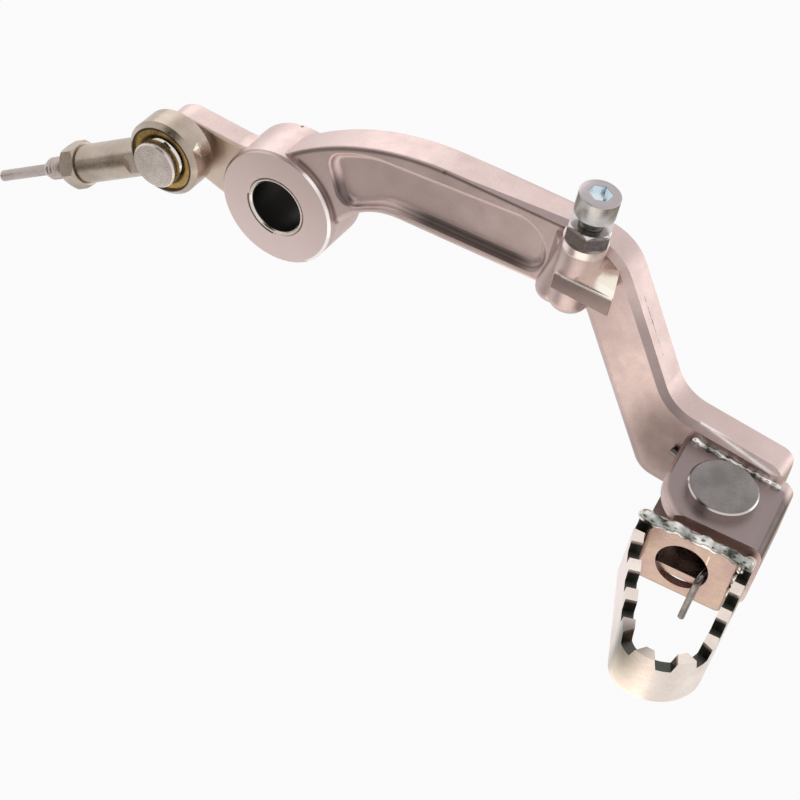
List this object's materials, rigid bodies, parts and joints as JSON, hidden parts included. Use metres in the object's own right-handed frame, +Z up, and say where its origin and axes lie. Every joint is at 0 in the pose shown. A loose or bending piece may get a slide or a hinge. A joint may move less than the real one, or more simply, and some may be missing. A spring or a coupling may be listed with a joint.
{
  "type": "rear brake pedal",
  "caption": "Forged cranked foot lever with pivot hub, tail rod end and push rod, height stop screw, and a sprung folding toothed foot step.",
  "frame": {"origin": "on the pivot bore's axis, at the middle of the arm's thickness", "axes": "+X forward from the hub towards the foot, +Y inboard towards the machine along the pivot axis, +Z up"},
  "size_m": [0.235, 0.0777, 0.0979],
  "materials": {
    "arm_metal": "satin",
    "bush_steel": "machined",
    "rod_end_steel": "satin plated",
    "race_brass": "satin",
    "ball_chrome": "polished",
    "pin_steel": "turned",
    "rod_steel": "satin",
    "screw_zinc": "bright zinc",
    "step_zinc": "zinc plated",
    "spring_steel": "oiled"
  },
  "bodies": {
    "arm": {"pedal_arm": "arm_metal", "pivot_bush": "bush_steel", "rod_end_pin": "pin_steel", "stop_screw_lock_nut": "screw_zinc", "step_pivot_pin": "pin_steel", "step_spring": "spring_steel"},
    "ball": {"rod_end_ball": "ball_chrome"},
    "rod_end": {"rod_end_body": "rod_end_steel", "rod_end_race": "race_brass", "rod_end_lock_nut": "rod_end_steel"},
    "push_rod": {"push_rod": "rod_steel"},
    "stop_screw": {"stop_screw": "screw_zinc"},
    "step": {"step_bracket": "step_zinc", "step_cleat": "step_zinc"}
  },
  "joints": [
    {"name": "step_fold", "type": "hinge", "parent": "arm", "child": "step", "pos_m": [0.1339, -0.0157, -0.0077], "axis": [0, 0, -1], "range_deg": [0, 75], "stiffness_Nm_per_rad": 1.1, "springref_deg": -17.19, "deforming": ["step_spring"]},
    {"name": "rod_end_swing", "type": "hinge", "parent": "arm", "child": "ball", "pos_m": [-0.03, -0.0096, 0.0022], "axis": [0, 1, 0], "range_deg": [-45, 45]},
    {"name": "rod_end_tilt", "type": "hinge", "parent": "ball", "child": "rod_end", "pos_m": [-0.03, -0.0096, 0.0022], "axis": [0.6225, 0, -0.7826], "range_deg": [-8, 8]},
    {"name": "push_rod_reach", "type": "slide", "parent": "rod_end", "child": "push_rod", "axis": [-0.7826, 0, -0.6225], "range_m": [-0.003, 0.003]},
    {"name": "stop_screw_height", "type": "slide", "parent": "arm", "child": "stop_screw", "axis": [0, 0, 1], "range_m": [-0.0025, 0.003]}
  ]
}
